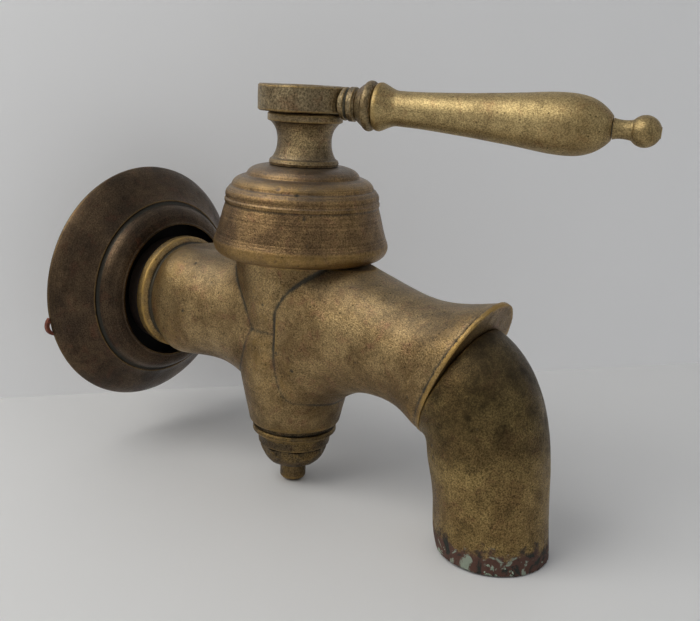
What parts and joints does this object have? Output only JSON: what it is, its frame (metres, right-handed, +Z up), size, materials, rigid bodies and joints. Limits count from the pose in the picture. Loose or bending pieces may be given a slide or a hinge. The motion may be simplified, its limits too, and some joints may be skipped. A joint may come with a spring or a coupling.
{
  "type": "plug cock wall tap",
  "caption": "Cast bronze plug cock: lever-turned ground plug in a barrel with a wall rosette, threaded inlet tail, spurred collar and down-turned spout.",
  "frame": {"origin": "on the inlet axis, in the plane of the rosette's back rim, where the tap meets the wall", "axes": "+X from the wall to the spout, +Z up along the plug's axis, +Y to the side"},
  "size_m": [0.2813, 0.1245, 0.1908],
  "materials": {
    "cast_bronze": "aged, unpolished",
    "cast_bronze_spout": "aged, unpolished",
    "threaded_brass": "aged, unpolished",
    "leather_seal": "aged, unpolished",
    "blackened_iron": "aged, unpolished",
    "dark_patinated_brass": "aged, unpolished",
    "iron_wire": "aged, unpolished",
    "steel_pin": "aged, unpolished",
    "ground_bronze": "aged, unpolished",
    "turned_bronze": "aged, unpolished",
    "turned_bronze_neck": "aged, unpolished",
    "lever_bronze": "aged, unpolished",
    "brass_screw": "aged, unpolished",
    "lever_bronze_ferrule": "aged, unpolished",
    "lever_bronze_grip": "aged, unpolished",
    "lever_bronze_knob": "aged, unpolished",
    "steel_tang": "aged, unpolished",
    "darkened_bronze": "aged, unpolished",
    "darkened_bronze_collar": "aged, unpolished",
    "darkened_bronze_nut": "aged, unpolished"
  },
  "bodies": {
    "body": {"body_casting": "cast_bronze", "spout_nozzle": "cast_bronze_spout", "inlet_tailpiece": "threaded_brass", "tail_seal": "leather_seal", "backing_plate": "blackened_iron", "stop_pin": "steel_pin", "packing_ring": "leather_seal"},
    "rosette": {"wall_rosette": "dark_patinated_brass", "rosette_loop": "iron_wire"},
    "key": {"plug": "ground_bronze", "dome_cap": "turned_bronze", "neck_column": "turned_bronze_neck", "lever_hub": "lever_bronze", "hub_screw": "brass_screw", "lever_boss": "lever_bronze", "ferrule_ring": "lever_bronze_ferrule", "grip": "lever_bronze_grip", "end_knob": "lever_bronze_knob", "lever_tang": "steel_tang", "key_washer": "darkened_bronze", "thrust_collar": "darkened_bronze_collar", "plug_nut": "darkened_bronze_nut"}
  },
  "joints": [
    {"name": "plug_turn", "type": "hinge", "parent": "body", "child": "key", "pos_m": [0.109, 0, 0], "axis": [0, 0, 1], "range_deg": [-17, 73]},
    {"name": "rosette_slide", "type": "slide", "parent": "body", "child": "rosette", "axis": [1, 0, 0], "range_m": [0, 0.01]}
  ]
}
